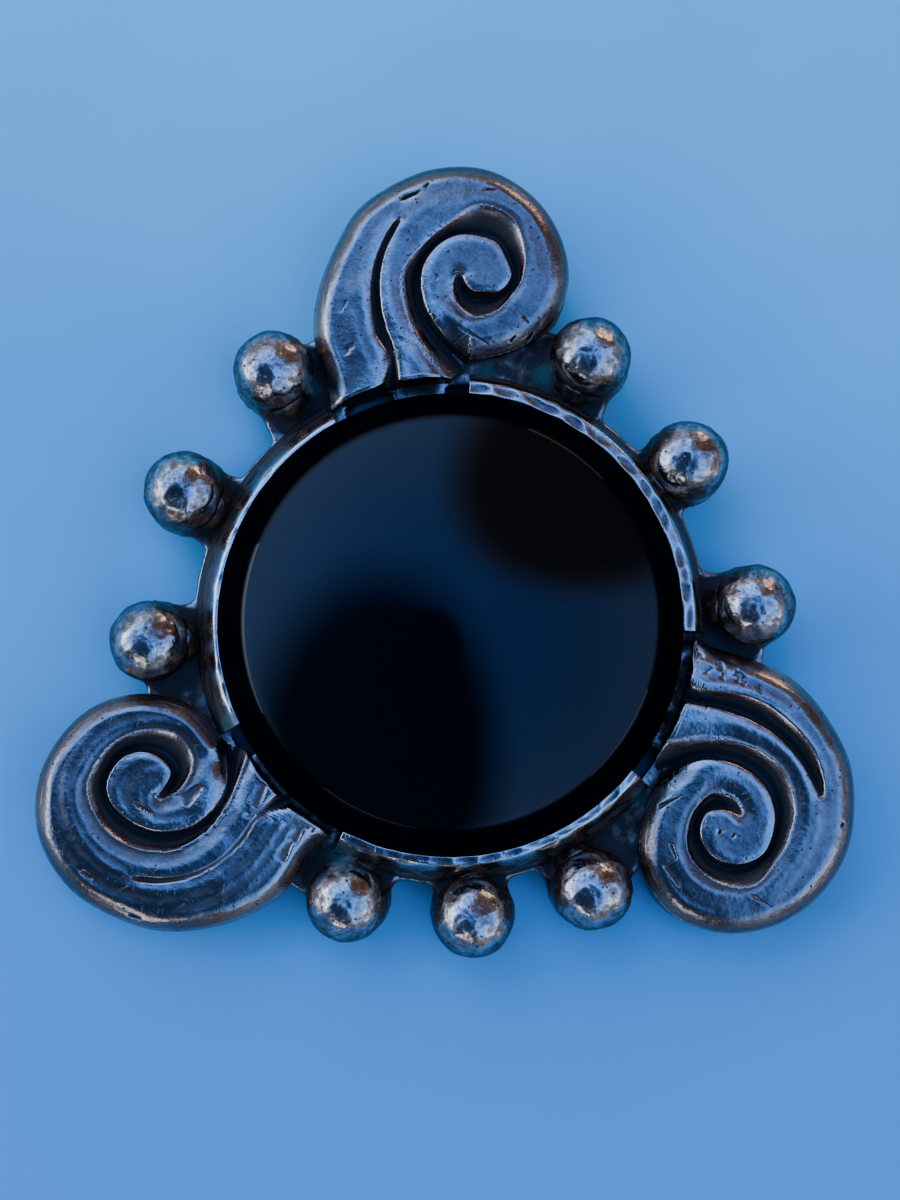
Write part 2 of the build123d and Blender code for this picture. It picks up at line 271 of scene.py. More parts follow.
def old_silver(name):
    """Cast, hammered or drawn silver, oxidised and then rubbed: dark where it is low, bright on the crests.

    The eye sees brown oxide with grime in the hollows, a brown patina on the low sides, grey tarnish with
    pits and scratches on the faces, and pale metal on the edges.
    """
    look = bpy.context.scene.brooch_finish
    wear = next(row for row in FINISHES if row["name"] == name)
    material, tree, mm = new_material(name)
    height = node(tree, "ShaderNodeSeparateXYZ", {"Vector": (mm, "Vector")})
    raised = node(tree, "ShaderNodeMapRange", {
        "Value": (height, "Z"), "From Min": wear["low"], "From Max": wear["high"], "To Min": wear["dark"],
        "To Max": wear["bright"]}, interpolation_type="SMOOTHSTEP")
    crest = node(tree, "ShaderNodeAttribute", attribute_name="crest")
    on_crest = node(tree, "ShaderNodeMath", {0: (crest, "Fac"), 1: wear["crest"], 2: (raised, "Result")},
                    operation="MULTIPLY_ADD")
    # The grooves are darker
    hollow = node(tree, "ShaderNodeAttribute", attribute_name="hollow")
    value = node(tree, "ShaderNodeMath", {0: (hollow, "Fac"), 1: -0.20, 2: (on_crest, "Value")},
                 operation="MULTIPLY_ADD")
    # Wear comes in clouds of 2 mm and in specks of 0.3 mm
    for size, share in ((2.0, 0.8), (0.3, 1.0)):
        clouds = node(tree, "ShaderNodeTexNoise", {"Vector": (mm, "Vector"), "Scale": 1 / size, "Detail": 5.0,
                                                   "Roughness": 0.65})
        spread = node(tree, "ShaderNodeMath", {0: (clouds, "Fac"), 1: 0.5}, operation="SUBTRACT")
        value = node(tree, "ShaderNodeMath", {0: (spread, "Value"), 1: 2 * share * wear["mottle"],
                                              2: (value, "Value")}, operation="MULTIPLY_ADD")
    # Pits are 0.1 to 0.25 mm wide, and only some of the cells hold one
    cells = node(tree, "ShaderNodeTexVoronoi", {"Vector": (mm, "Vector"), "Scale": 1.5})
    pit = node(tree, "ShaderNodeMapRange", {"Value": (cells, "Distance"), "From Min": 0.07, "From Max": 0.20,
                                            "To Min": 1.0, "To Max": 0.0})
    chosen = node(tree, "ShaderNodeSeparateColor", {"Color": (cells, "Color")})
    kept = node(tree, "ShaderNodeMath", {0: (chosen, "Red"), 1: wear["pitted"]}, operation="LESS_THAN")
    pits = node(tree, "ShaderNodeMath", {0: (pit, "Result"), 1: (kept, "Value")}, operation="MULTIPLY")
    # Scratches are stretched noise in three directions, drawn about 0.1 mm wide
    scratch = None
    for turn, width in ((0.5, 0.12), (1.4, 0.15), (2.5, 0.10)):
        along = node(tree, "ShaderNodeMapping", {"Vector": (mm, "Vector"), "Rotation": (0.0, 0.0, turn),
                                                 "Scale": (2.2, width, 2.2)}, vector_type="TEXTURE")
        lines = node(tree, "ShaderNodeTexNoise", {"Vector": (along, "Vector"), "Scale": 1.0, "Detail": 3.0})
        thin = node(tree, "ShaderNodeValToRGB", {"Fac": (lines, "Fac")},
                    stops=((0.70, 0.0), (0.74, 0.0), (0.72, 1.0)))
        if scratch is None:
            scratch = thin
        else:
            scratch = node(tree, "ShaderNodeMath", {0: (scratch, 0), 1: (thin, 0)}, operation="MAXIMUM")
    dark = node(tree, "ShaderNodeMath", {0: (pits, "Value"), 1: -0.5, 2: (value, "Value")},
                operation="MULTIPLY_ADD", use_clamp=True)
    clean = node(tree, "ShaderNodeMath", {0: (scratch, "Value"), 1: -0.25, 2: (dark, "Value")},
                 operation="MULTIPLY_ADD", use_clamp=True)
    tint = node(tree, "ShaderNodeValToRGB", {"Fac": (clean, "Value")},
                stops=((0.0, tuple(look.soot)), (0.9, tuple(look.silver)), (0.22, tuple(look.oxide)),
                       (0.5, tuple(look.tarnish))))
    # A brown patina is left on the low sides, but not in the grooves
    sides = node(tree, "ShaderNodeMapRange", {
        "Value": (height, "Z"), "From Min": wear["low"] + 0.4, "From Max": wear["high"] + 0.1,
        "To Min": wear["patina"], "To Max": 0.0}, interpolation_type="SMOOTHSTEP")
    open_side = node(tree, "ShaderNodeMath", {0: 1.0, 1: (hollow, "Fac")}, operation="SUBTRACT")
    patina = node(tree, "ShaderNodeMath", {0: (sides, "Result"), 1: (open_side, "Value")},
                  operation="MULTIPLY")
    worn = node(tree, "ShaderNodeMix", {0: (patina, "Value"), 6: (tint, "Color"), 7: (1.0, 0.78, 0.58, 1.0)},
                data_type="RGBA", blend_type="MULTIPLY")
    rough = node(tree, "ShaderNodeValToRGB", {"Fac": (clean, "Value")},
                 stops=((0.0, 0.7), (0.9, 0.14), (0.30, 0.45), (0.46, 0.21)))
    # Verdigris is a crumbly crust round its places
    green = node(tree, "ShaderNodeAttribute", attribute_name="verdigris")
    crust = node(tree, "ShaderNodeTexNoise", {"Vector": (mm, "Vector"), "Scale": 2.0, "Detail": 8.0,
                                              "Roughness": 0.85})
    patch = node(tree, "ShaderNodeMath", {0: (green, "Fac"), 1: (crust, "Fac")}, operation="MULTIPLY")
    salts = node(tree, "ShaderNodeMapRange", {"Value": (patch, "Value"), "From Min": 0.30, "From Max": 0.48,
                                              "To Max": 0.85})
    skin = node(tree, "ShaderNodeMix", {0: (salts, "Result"), 6: (worn, 2), 7: tuple(look.verdigris)},
                data_type="RGBA")
    # Grime and salts aren't metal
    clear = node(tree, "ShaderNodeMath", {0: 1.0, 1: (salts, "Result")}, operation="SUBTRACT")
    metal = node(tree, "ShaderNodeMapRange", {"Value": (clean, "Value"), "From Min": 0.05, "From Max": 0.30,
                                              "To Min": 0.25, "To Max": 1.0})
    bare = node(tree, "ShaderNodeMath", {0: (clear, "Value"), 1: (metal, "Result")}, operation="MULTIPLY")
    matt = node(tree, "ShaderNodeMath", {0: (rough, "Color"), 1: (salts, "Result")}, operation="MAXIMUM")
    grain = node(tree, "ShaderNodeTexNoise", {"Vector": (mm, "Vector"), "Scale": 3.0, "Detail": 5.0,
                                              "Roughness": 0.6})
    lift = node(tree, "ShaderNodeMath", {0: (grain, "Fac"), 1: (pits, "Value")}, operation="SUBTRACT")
    relief = node(tree, "ShaderNodeMath", {0: (scratch, "Value"), 1: -0.3, 2: (lift, "Value")},
                  operation="MULTIPLY_ADD")
    bump = node(tree, "ShaderNodeBump", {"Height": (relief, "Value"), "Strength": 0.5,
                                         "Distance": 0.06 * MM})
    shader = node(tree, "ShaderNodeBsdfPrincipled", {
        "Base Color": (skin, 2), "Metallic": (bare, "Value"), "Roughness": (matt, "Value"),
        "Specular Tint": colour("#C4B8AC"), "Normal": (bump, "Normal")})
    node(tree, "ShaderNodeOutputMaterial", {"Surface": (shader, "BSDF")})
    return material


def polished_onyx():
    """Black onyx, ground and polished: mirror gloss with a little dust, and a painted dark reflection on the
    shoulder.
    """
    look = bpy.context.scene.brooch_finish
    material, tree, mm = new_material("polished_onyx")
    # Its gloss is a little uneven, in clouds of 4 mm
    haze = node(tree, "ShaderNodeTexNoise", {"Vector": (mm, "Vector"), "Scale": 0.25, "Detail": 6.0})
    rough = node(tree, "ShaderNodeMapRange", {"Value": (haze, "Fac"), "From Min": 0.3, "From Max": 0.7,
                                              "To Min": 0.035, "To Max": 0.075})
    # Specks of dust are about 0.1 mm wide and 1 mm apart
    dust = node(tree, "ShaderNodeTexVoronoi", {"Vector": (mm, "Vector"), "Scale": 0.9})
    speck = node(tree, "ShaderNodeMapRange", {"Value": (dust, "Distance"), "From Min": 0.02, "From Max": 0.06,
                                              "To Min": 0.35, "To Max": 0.0})
    dusty = node(tree, "ShaderNodeMath", {0: (rough, "Result"), 1: (speck, "Result")}, operation="MAXIMUM")
    # Below this height, on the steep shoulder beside the bezel, a painted dark reflection hides the polish
    height = node(tree, "ShaderNodeSeparateXYZ", {"Vector": (mm, "Vector")})
    edge = node(tree, "ShaderNodeMapRange", {"Value": (height, "Z"), "From Min": 9.0, "From Max": 9.25,
                                             "To Min": 0.98, "To Max": 0.0}, interpolation_type="SMOOTHSTEP")
    shader = node(tree, "ShaderNodeBsdfPrincipled", {
        "Base Color": tuple(look.onyx), "Roughness": (dusty, "Value"), "IOR": 1.54,
        "Specular IOR Level": 0.22})
    # The shoulder's matt black is painted: it stands for the dark bezel wall that the shoulder mirrors
    grime = node(tree, "ShaderNodeBsdfDiffuse", {"Color": tuple(look.onyx), "Roughness": 0.5})
    both = node(tree, "ShaderNodeMixShader", {0: (edge, "Result"), 1: (shader, "BSDF"), 2: (grime, "BSDF")})
    node(tree, "ShaderNodeOutputMaterial", {"Surface": (both, "Shader")})
    return material


def pale_sheet():
    """Smooth pale blue plastic sheet with faint waves, and a painted shade that deepens it towards the near
    side.
    """
    look = bpy.context.scene.brooch_finish
    material, tree, mm = new_material("pale_sheet")
    waves = node(tree, "ShaderNodeTexNoise", {"Vector": (mm, "Vector"), "Scale": 0.02, "Detail": 3.0})
    across = node(tree, "ShaderNodeSeparateXYZ", {"Vector": (mm, "Vector")})
    # Painted shade: the sheet turns darker and bluer towards the near side
    fall = node(tree, "ShaderNodeMapRange", {"Value": (across, "Y"), "From Min": 50.0, "From Max": -60.0,
                                             "To Min": -0.5, "To Max": 0.9})
    shade = node(tree, "ShaderNodeMath", {0: (waves, "Fac"), 1: (fall, "Result")}, operation="ADD",
                 use_clamp=True)
    red, green, blue = look.sheet[:3]
    tint = node(tree, "ShaderNodeMix", {0: (shade, "Value"), 6: tuple(look.sheet),
                                        7: (0.50 * red, 0.60 * green, 0.78 * blue, 1.0)}, data_type="RGBA")
    bump = node(tree, "ShaderNodeBump", {"Height": (waves, "Fac"), "Strength": 0.2, "Distance": 2 * MM})
    shader = node(tree, "ShaderNodeBsdfPrincipled", {"Base Color": (tint, 2), "Roughness": 0.6,
                                                     "Normal": (bump, "Normal")})
    node(tree, "ShaderNodeOutputMaterial", {"Surface": (shader, "BSDF")})
    return material


def soft_dome():
    """Dome of soft blue light, deeper blue straight above, and grey and dimmer towards the horizon.

    Two black flags with soft edges hang in it, above and in front, and a brown screen at the upper right.
    """
    world = bpy.data.worlds.new("soft_dome")
    world.use_nodes = True
    tree = world.node_tree
    tree.nodes.clear()
    way = node(tree, "ShaderNodeTexCoord")
    height = node(tree, "ShaderNodeSeparateXYZ", {"Vector": (way, "Generated")})
    # Each is an oval in the dome as seen from above. Its value goes from 0 in the middle to 1 clear of it.
    ovals = table("x y across along", (-0.31, -0.50, 0.56, 0.82), (0.58, 0.66, 0.58, 0.46),
                  (-0.10, -0.10, 0.20, 0.27))
    clear = []
    for oval in ovals:
        card = node(tree, "ShaderNodeMapping", {
            "Vector": (way, "Generated"), "Scale": (1 / oval["across"], 1 / oval["along"], 0.0),
            "Location": (-oval["x"] / oval["across"], -oval["y"] / oval["along"], 0.0)})
        off = node(tree, "ShaderNodeVectorMath", {0: (card, "Vector")}, operation="LENGTH")
        clear.append(node(tree, "ShaderNodeMapRange", {
            "Value": (off, "Value"), "From Min": 0.7, "From Max": 1.2}, interpolation_type="SMOOTHSTEP"))
    flag, screen, small_flag = clear
    darkest = node(tree, "ShaderNodeMath", {0: (flag, "Result"), 1: (small_flag, "Result")},
                   operation="MINIMUM")
    dim = node(tree, "ShaderNodeMapRange", {"Value": (darkest, "Value"), "To Min": 0.05, "To Max": 1.0})
    behind = node(tree, "ShaderNodeMapRange", {"Value": (screen, "Result"), "To Min": 0.35, "To Max": 1.0})
    side = node(tree, "ShaderNodeMapRange", {"Value": (height, "X"), "From Min": -0.6, "From Max": 0.6,
                                             "To Min": 4.6, "To Max": 2.8})
    sky = node(tree, "ShaderNodeMapRange", {"Value": (height, "Z"), "From Min": 0.25, "From Max": 0.5},
               interpolation_type="SMOOTHSTEP")
    rise = node(tree, "ShaderNodeMapRange", {"Value": (sky, "Result"), "To Min": 0.7, "To Max": 1.0})
    top = node(tree, "ShaderNodeMapRange", {"Value": (height, "Z"), "From Min": 0.5, "From Max": 0.95})
    low = node(tree, "ShaderNodeMix", {0: (sky, "Result"), 6: colour("#646669"), 7: colour("#729DE8")},
               data_type="RGBA")
    blue = node(tree, "ShaderNodeMix", {0: (top, "Result"), 6: (low, 2), 7: colour("#4884EE")},
                data_type="RGBA")
    tint = node(tree, "ShaderNodeMix", {0: (screen, "Result"), 6: colour("#6C5D56"), 7: (blue, 2)},
                data_type="RGBA")
    strength = side
    for part in (dim, behind, rise):
        strength = node(tree, "ShaderNodeMath", {0: (strength, 0), 1: (part, "Result")}, operation="MULTIPLY")
    light = node(tree, "ShaderNodeBackground", {"Color": (tint, 2), "Strength": (strength, "Value")})
    node(tree, "ShaderNodeOutputWorld", {"Surface": (light, "Background")})
    return world


def deselect():
    """Leaves edit mode and selects nothing."""
    if bpy.context.object and bpy.context.object.mode != "OBJECT":
        bpy.ops.object.mode_set(mode="OBJECT")
    bpy.ops.object.select_all(action="DESELECT")


def choose(piece):
    """Makes a piece the only one selected, and active."""
    deselect()
    piece.select_set(True)
    bpy.context.view_layer.objects.active = piece


def places(piece):
    """Places of a piece's vertices as an array."""
    co = np.empty(len(piece.data.vertices) * 3, np.float32)
    piece.data.vertices.foreach_get("co", co)
    return co.reshape(-1, 3).astype(float)


def put(piece, co):
    """Moves a piece's vertices to new places."""
    piece.data.vertices.foreach_set("co", co.astype(np.float32).ravel())
    piece.data.update()


def edit(step, **settings):
    """Runs an edit-mode step on the whole of the active piece."""
    bpy.ops.object.mode_set(mode="EDIT")
    bpy.ops.mesh.select_all(action="SELECT")
    step(**settings)
    bpy.ops.object.mode_set(mode="OBJECT")


def cylinder(radius, height, centre, sides=48):
    """New upright cylinder."""
    bpy.ops.mesh.primitive_cylinder_add(vertices=sides, radius=radius, depth=height, location=centre)
    return bpy.context.object


def bar(inner, outer, low, high):
    """Closed rectangular profile between two distances from the axis and two heights."""
    return [(inner, low), (outer, low), (outer, high), (inner, high)]


def turned(name, profile, steps, start=0.0, end=360.0):
    """Closed profile of (distance from the axis, height) points, spun about the axis.

    It is spun between two directions in degrees, and the ends of less than a full turn are closed.
    """
    deselect()
    bpy.ops.mesh.primitive_circle_add(vertices=len(profile), radius=1.0, fill_type="NOTHING")
    piece = bpy.context.object
    piece.name = name
    put(piece, np.array([(distance, 0.0, height) for distance, height in profile]))
    edit(bpy.ops.mesh.spin, steps=steps, angle=math.radians(end - start), center=(0, 0, 0), axis=(0, 0, -1))
    edit(bpy.ops.mesh.remove_doubles, threshold=WELD)
    if end - start < 360:
        bpy.ops.object.mode_set(mode="EDIT")
        bpy.ops.mesh.select_all(action="DESELECT")
        bpy.ops.mesh.select_non_manifold(extend=False, use_wire=False, use_multi_face=False,
                                         use_non_contiguous=False, use_verts=False)
        bpy.ops.mesh.fill_holes(sides=0)
        bpy.ops.object.mode_set(mode="OBJECT")
    edit(bpy.ops.mesh.normals_make_consistent, inside=False)
    piece.data.transform(Matrix.Rotation(math.radians(start), 4, "Z"))
    return piece


def joined(name, parts):
    """Joins parts into one piece, whose place is in its mesh."""
    choose(parts[0])
    for part in parts[1:]:
        part.select_set(True)
    bpy.ops.object.transform_apply(location=True, rotation=True, scale=True)
    bpy.ops.object.join()
    piece = bpy.context.object
    piece.name = name
    return piece


def modified(piece, kind, **settings):
    """Adds a modifier and applies it."""
    choose(piece)
    modifier = piece.modifiers.new(kind.lower(), kind)
    for key, value in settings.items():
        setattr(modifier, key, value)
    bpy.ops.object.modifier_apply(modifier=modifier.name)


def dented(piece, size, depth, level=0.5, detail=1, **settings):
    """Raises and sinks a piece's surface, in clouds of a size, by a depth in all."""
    clouds = bpy.data.textures.new("clouds", "CLOUDS")
    clouds.noise_scale = size
    clouds.noise_depth = detail
    modified(piece, "DISPLACE", texture=clouds, strength=depth, mid_level=level, **settings)


def less(piece, cutter):
    """Takes a cutter away from a piece."""
    modified(piece, "BOOLEAN", operation="DIFFERENCE", solver="EXACT", object=cutter)
    bpy.data.objects.remove(cutter)


def smoothed(co, edges, rounds):
    """Vertices moved to the mean of their neighbours, over and over."""
    ends = np.concatenate([edges, edges[:, ::-1]])
    count = np.maximum(np.bincount(ends[:, 0], minlength=len(co)), 1)
    for _ in range(rounds):
        near = co[ends[:, 1]]
        mean = np.stack([np.bincount(ends[:, 0], near[:, axis], len(co)) for axis in range(3)], -1)
        co = mean / count[:, None]
    return co


def note_crests(piece, rounds=16, scale=0.05):
    """Stores how far each vertex stands out of its surroundings, from -0.6 in hollows to 1 on crests.

    The surroundings are the surface smoothed a number of times, and a crest stands out by the scale in
    millimetres.
    """
    mesh = piece.data
    co = places(piece)
    edges = np.empty(len(mesh.edges) * 2, np.int32)
    mesh.edges.foreach_get("vertices", edges)
    normals = np.empty(len(co) * 3, np.float32)
    mesh.vertices.foreach_get("normal", normals)
    proud = ((co - smoothed(co, edges.reshape(-1, 2), rounds)) * normals.reshape(-1, 3)).sum(1)
    crest = mesh.attributes.new("crest", "FLOAT", "POINT")
    crest.data.foreach_set("value", np.clip(proud / scale, -0.6, 1).astype(np.float32))


def note_verdigris(piece):
    """Stores how green each vertex is, near the places where salts have gathered."""
    co = places(piece)
    green = np.zeros(len(co))
    for spot in VERDIGRIS:
        gap = np.hypot(co[:, 0] - spot["x"], co[:, 1] - spot["y"])
        green = np.maximum(green, np.exp(-(gap / spot["spread"]) ** 2))
    held = piece.data.attributes.new("verdigris", "FLOAT", "POINT")
    held.data.foreach_set("value", green.astype(np.float32))


def finish_piece(piece, material, slot, *nodes, smooth_angle=None):
    """Brings a piece from the bench into the frame with its material, and hides the nodes; the slot isn't used.
    """
    note_verdigris(piece)
    piece.data.transform(Matrix.Scale(MM, 4) @ Matrix.Translation((stone_axis().x, stone_axis().y, 0.0)))
    choose(piece)
    if smooth_angle is None:
        bpy.ops.object.shade_smooth()
    else:
        bpy.ops.object.shade_smooth_by_angle(angle=math.radians(smooth_angle))
    piece.data.materials.clear()
    piece.data.materials.append(material)
    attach(piece, "root")
    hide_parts(*nodes)


def line_through(rows, name, steps=7):
    """Smooth line about the eye through one column of a table, as automatic Bezier handles draw it."""
    points = [Vector((row[name] * math.cos(math.radians(row["turn"])),
                      row[name] * math.sin(math.radians(row["turn"])))) for row in rows]
    line = []
    for place in range(len(points) - 1):
        before, start = points[max(place - 1, 0)], points[place]
        end, after = points[place + 1], points[min(place + 2, len(points) - 1)]
        handles = start + (end - before) / 6, end - (after - start) / 6
        line += interpolate_bezier(start, *handles, end, steps)[:-1]
    line.append(points[-1])
    return np.array([(point.x, point.y) for point in line], np.float32)


def in_blocks(measure, points, line, block=4000):
    """Measures points against a line a few thousand at a time, to spare memory."""
    return np.concatenate([measure(points[at:at + block], line) for at in range(0, len(points), block)])


def distance(points, line):
    """Distance from each point to the nearest place on a line."""
    start, step = line[:-1], np.diff(line, axis=0)
    gap = points[:, None] - start
    share = np.clip((gap * step).sum(-1) / np.maximum((step ** 2).sum(-1), TINY), 0, 1)
    return np.linalg.norm(gap - share[..., None] * step, axis=-1).min(1)


def inside(points, loop):
    """Which points lie inside a closed line."""
    after = np.roll(loop, -1, axis=0)
    rise = after[:, 1] - loop[:, 1]
    level = points[:, 1, None] - loop[:, 1]
    across = loop[:, 0] + (after[:, 0] - loop[:, 0]) * level / np.where(rise == 0, TINY, rise)
    crossed = ((loop[:, 1] > points[:, 1, None]) != (after[:, 1] > points[:, 1, None]))
    return (crossed & (points[:, 0, None] < across)).sum(1) % 2 == 1


def ease(value):
    """Smooth step from 0 to 1."""
    value = np.clip(value, 0, 1)
    return value * value * (3 - 2 * value)


def reach(scroll, turns, inset, stop):
    """Distance from the eye to the scroll's edge, set in from its outline and stopped short of the stone."""
    outline = line_through(OUTLINE, scroll["name"])
    # A straight line closes the outline over the mouth of the groove
    mouth = np.array([(0.0, -BAND_EDGE[0][scroll["name"]])])
    closing = outline[0] + (mouth - outline[0]) * np.linspace(1, 0, 20, endpoint=False)[:, None]
    along = np.concatenate([closing, outline])
    angle = np.unwrap(np.arctan2(along[:, 1], along[:, 0]))
    angle += 1.5 * math.pi - angle[0]
    order = angle[::-1]
    edge = np.interp((turns + math.pi / 2) % (2 * math.pi) - math.pi / 2, order,
                     np.hypot(along[:, 0], along[:, 1])[::-1]) - inset
    # Where a ray from the eye comes to the circle about the stone, it ends there
    drop = scroll["eye"] * np.sin(turns)
    room = drop ** 2 - scroll["eye"] ** 2 + stop ** 2
    near = np.where((room > 0) & (drop < 0), -drop - np.sqrt(np.maximum(room, 0)), np.inf)
    edge = np.minimum(edge, near)
    # The step between the outline's two ends is spread over the mouth of the groove
    end = OUTLINE[-1][scroll["name"]] - inset
    past = (-math.pi / 2 - turns) % (2 * math.pi)
    return np.where(past < MOUTH_SPREAD, end + (edge - end) * past / MOUTH_SPREAD, edge)


def groove_depth(points, outer, inner, relief_depth):
    """Depth of a groove that slopes in from its outer edge and drops steeply at its inner edge.

    It returns which points lie within the groove too.
    """
    # A narrow groove is shallower, its slope takes most of its width, and its edges and its tip are rounded
    narrow, sloping, bend = 0.9, 0.72, 1.15
    wall, tip, edge, rounding = 0.42, 0.6, 0.06, 0.32
    from_outer = in_blocks(distance, points, outer)
    from_inner = in_blocks(distance, points, inner)
    from_tip = in_blocks(distance, points, np.array([outer[-1], inner[-1]]))
    width = from_outer + from_inner
    full = relief_depth * (1 - np.exp(-width / narrow))
    slope = np.clip(from_outer / (sloping * width + TINY), 0, 1) ** bend
    shape = slope * ease(from_inner / wall) * ease(from_tip / tip)
    within = in_blocks(inside, points, np.concatenate([outer, inner[::-1]]))
    near = np.minimum(np.minimum(from_outer, from_inner), from_tip)
    outside = edge * np.exp(-(near / rounding) ** 2)
    return np.where(within, edge + (full - edge) * shape, outside), within


def cut(mark, points):
    """Depth of a cut: a wedge, deepest along one side, as the corner of a hammer or file leaves it."""
    steep_side, end_slope, gain = 0.3, 0.5, 1.5
    angle = math.radians(mark["direction"])
    gap = points - (mark["x"], mark["y"])
    along = (gap @ (math.cos(angle), math.sin(angle))) / (mark["length"] / 2)
    across = (gap @ (-math.sin(angle), math.cos(angle))) / (mark["width"] / 2)
    # It narrows towards one end
    across /= np.clip(0.75 - 0.35 * along, 0.3, 1.2)
    wedge = ease((1 + across) / steep_side) * np.clip((1 - across) / 2, 0, 1)
    return gain * mark["depth"] * (wedge * ease((1 - np.abs(along)) / end_slope))


def carved_face(scroll, points, shapes):
    """Height of a scroll's face at each point about its eye, and how dark a groove leaves it, from 0 to 1."""
    name = scroll["name"]
    relief_depth, shoulder = shapes.relief_depth / MM, shapes.shoulder / MM
    outline = line_through(OUTLINE, name)
    from_side = in_blocks(distance, points, outline)
    from_axis = np.hypot(points[:, 0], points[:, 1] + scroll["eye"])
    out = 1 - np.clip(from_side / shoulder, 0, 1)
    # The sloping edge dies away along the first stretch of the coil, from the mouth of the groove on
    faded, mouth = 225, 270
    turn = np.degrees(np.arctan2(points[:, 1], points[:, 0])) % 360
    from_coil = in_blocks(distance, points, line_through(COIL_EDGE[:3], name))
    fading = np.clip((turn - faded) / (mouth - faded), 0, 1) * (turn <= mouth)
    out = np.maximum(out, fading * (1 - np.clip(from_coil / shoulder, 0, 1)))
    height = SCROLL_HEIGHT - SHOULDER_DROP * out ** 1.6
    # Next to it the face falls a little, and the end at the stone is rounded
    fall, fall_width, end_round = 0.25, 2.2, 0.5
    height -= fall * ease(1 - (from_side - shoulder) / fall_width)
    end = 1 - np.clip((from_axis - scroll["stop"]) / end_round, 0, 1)
    height -= end_round * (1 - np.sqrt(1 - end ** 2))
    rows = [row["turn"] >= scroll["groove_end"] for row in BAND_EDGE].count(True)
    winding = line_through(BAND_EDGE[:rows], name), line_through(COIL_EDGE[:rows], name)
    legs = line_through(LEG_EDGE, name), line_through(MIDDLE_LEG_EDGE, name)
    deepest = np.zeros(len(points))
    outside = np.ones(len(points), bool)
    for outer, inner in (winding, legs):
        depth, within = groove_depth(points, outer, inner, relief_depth)
        deepest = np.maximum(deepest, depth)
        outside &= ~within
    # The band is planed down a little along the groove's outer edge
    from_band = in_blocks(distance, points, winding[0])
    planed = scroll["facet_drop"] * np.clip(1 - from_band / scroll["facet"], 0, 1) ** 1.5
    # Strokes of the file have left ripples along it, 1.3 mm apart and not quite even
    ripples = scroll["ripple"] * np.sin(5.0 * from_band + 1.5 * np.sin(0.8 * from_side))
    height -= np.where(outside, planed + ripples, 0)
    height -= deepest
    for mark in MARKS:
        if mark["scroll"] == name:
            height -= cut(mark, points)
    # A groove is fully dark from a third of its depth down
    return height, np.clip(3 * deepest / relief_depth, 0, 1)


def hollow_back(scroll, points, turns):
    """Height of a scroll's back: on the table at its skirt, the plate's underside, and the hollow."""
    step, corner = 0.2, 0.25
    from_axis = np.hypot(points[:, 0], points[:, 1] + scroll["eye"])
    from_eye = np.hypot(points[:, 0], points[:, 1])
    skirt = PLATE_UNDERSIDE * ease((SKIRT_RADIUS + step / 2 - from_axis) / step)
    wall = reach(scroll, turns, SCROLL_WALL, 0.0)
    hollow = ease((wall - from_eye) / corner + 0.5) * ease((from_axis - POCKET_RADIUS) / corner + 0.5)
    return skirt + (POCKET_HEIGHT - skirt) * hollow


def on_plate(scroll, height=0.0):
    """Brings what is drawn about a scroll's eye to its place about the stone."""
    turn = Matrix.Rotation(math.radians(scroll["direction"] - 90), 4, "Z")
    return turn @ Matrix.Translation((0, scroll["eye"], height))


def carved_scroll(scroll):
    """Scroll carved out of a turned blank of 10 mm radius and height, whose rings are closest at the side."""
    shapes = bpy.context.scene.brooch_shapes
    blank = 10
    turns, face_rings, wall_rings, back_rings = 440, 110, 9, 34
    face = [(1 - (1 - share) ** 1.25, 1.0) for share in np.linspace(0, 1, face_rings)]
    wall = [(1.0, share) for share in np.linspace(1, 0, wall_rings + 2)[1:-1]]
    back = [(share, 0.0) for share in np.linspace(1, 0, back_rings)]
    profile = [(blank * share, blank * height) for share, height in face + wall + back]
    piece = turned("scroll_" + scroll["name"], profile, turns)
    co = places(piece)
    share, level = np.hypot(co[:, 0], co[:, 1]) / blank, co[:, 2] / blank
    turn = np.arctan2(co[:, 1], co[:, 0])
    edge = reach(scroll, turn, 0.0, scroll["stop"])
    points = np.stack([edge * share * np.cos(turn), edge * share * np.sin(turn)], -1)
    bottom = hollow_back(scroll, points, turn)
    top, deep = np.zeros((2, len(points)))
    front = level > 0
    top[front], deep[front] = carved_face(scroll, points[front].astype(np.float32), shapes)
    put(piece, np.column_stack([points, bottom + (top - bottom) * level]))
    hollow = piece.data.attributes.new("hollow", "FLOAT", "POINT")
    hollow.data.foreach_set("value", (deep * level).astype(np.float32))
    # Waves of two sizes, in millimetres, are left on the face and not on its edge
    group = piece.vertex_groups.new(name="face")
    group.add([int(place) for place in np.flatnonzero((level > 0.99) & (share < 0.93))], 1.0, "REPLACE")
    for size, depth in ((3.2, shapes.planish_depth / MM), (0.9, 0.25 * shapes.planish_depth / MM)):
        dented(piece, size, depth, vertex_group="face")
    piece.data.transform(on_plate(scroll))
    note_crests(piece)
    return piece


def in_steps(corners, step):
    """Closed profile with points about a step apart between its corners."""
    points = []
    for start, end in zip(corners, corners[1:] + corners[:1]):
        count = max(round(math.dist(start, end) / step), 1)
        points += [tuple(Vector(start).lerp(Vector(end), share / count)) for share in range(count)]
    return points


def strip_length(strip):
    """Length of a bezel strip along the stone's edge."""
    return math.radians(strip["end"] - strip["start"]) * STONE_RADIUS


